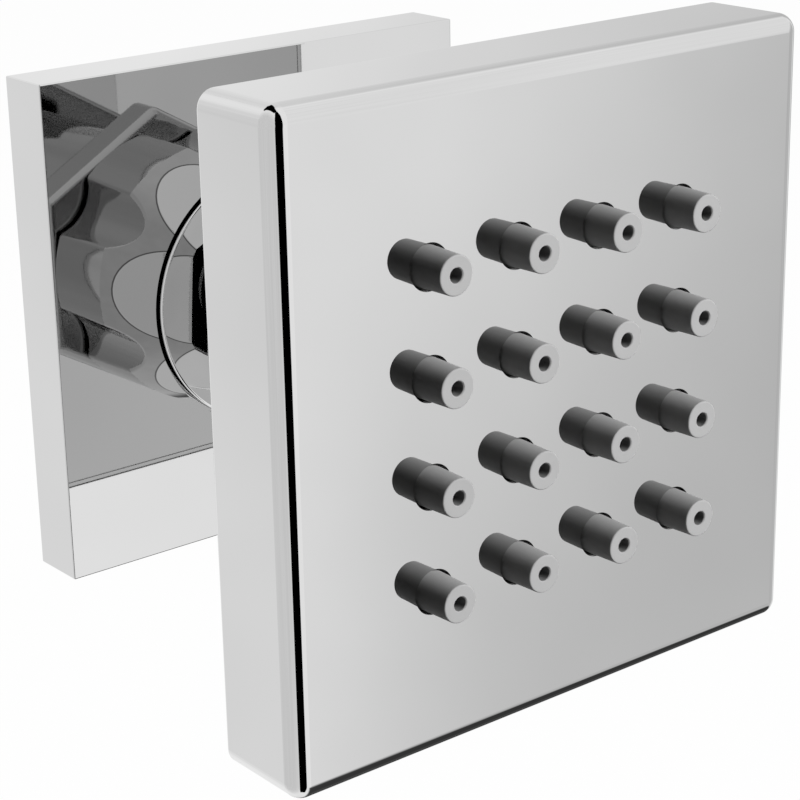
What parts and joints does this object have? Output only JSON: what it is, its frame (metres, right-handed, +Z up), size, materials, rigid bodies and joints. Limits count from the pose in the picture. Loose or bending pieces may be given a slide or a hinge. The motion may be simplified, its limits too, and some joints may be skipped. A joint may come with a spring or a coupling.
{
  "type": "shower body jet",
  "caption": "Square chrome shower body jet with rubber nozzles on a ball joint, with a lobed clamp nut and a square wall plate over a threaded inlet.",
  "frame": {"origin": "on the inlet's axis, in the plane of the wall that the plate lies on", "axes": "+Y into the wall along the inlet thread, spray leaves along -Y, +Z up, +X to the right seen from the room"},
  "size_m": [0.066, 0.0716, 0.066],
  "materials": {
    "chrome_plate": "polished chrome plate on brass",
    "chrome_neck": "polished chrome plate on brass",
    "chrome_head": "polished chrome plate",
    "dark_chrome": "dark polished chrome plate, bright on the nut's flats",
    "bare_brass": "turned, unplated",
    "steel": "stainless, plain",
    "nozzle_rubber": "grey silicone rubber, matt",
    "seal_rubber": "black rubber, matt",
    "gasket_foam": "closed-cell foam",
    "slip_plastic": "low-friction plastic",
    "moulded_plastic": "moulded grey plastic"
  },
  "bodies": {
    "wall_mount": {"wall_plate": "chrome_plate", "wall_gasket": "gasket_foam", "inlet_connector": "chrome_neck", "inlet_filter": "steel", "flow_restrictor": "moulded_plastic", "stem_o_ring": "seal_rubber", "ball_stem": "chrome_neck"},
    "swing_ring": {"slip_ring": "slip_plastic"},
    "tilt_seat": {"ball_seat": "slip_plastic"},
    "head": {"ball_o_ring": "seal_rubber", "swivel_hub": "dark_chrome", "hub_o_ring": "seal_rubber", "hub_washer": "moulded_plastic", "hub_locknut": "bare_brass", "back_cover": "chrome_head", "cover_screws": "steel", "chamber_seal": "seal_rubber", "spray_plate": "moulded_plastic", "nozzle_mat": "nozzle_rubber", "head_shell": "chrome_head"},
    "nut": {"clamp_nut": "dark_chrome"}
  },
  "joints": [
    {"name": "head_swing", "type": "hinge", "parent": "wall_mount", "child": "swing_ring", "pos_m": [0, -0.01688, 0], "axis": [0, 0, 1], "range_deg": [-6, 6]},
    {"name": "head_tilt", "type": "hinge", "parent": "swing_ring", "child": "tilt_seat", "pos_m": [0, -0.01688, 0], "axis": [1, 0, 0], "range_deg": [-6, 6]},
    {"name": "head_turn", "type": "hinge", "parent": "tilt_seat", "child": "head", "pos_m": [0, -0.01688, 0], "axis": [0, 1, 0], "continuous": true},
    {"name": "nut_turn", "type": "hinge", "parent": "head", "child": "nut", "pos_m": [0, -0.01688, 0], "axis": [0, 1, 0], "range_deg": [0, 90]}
  ]
}
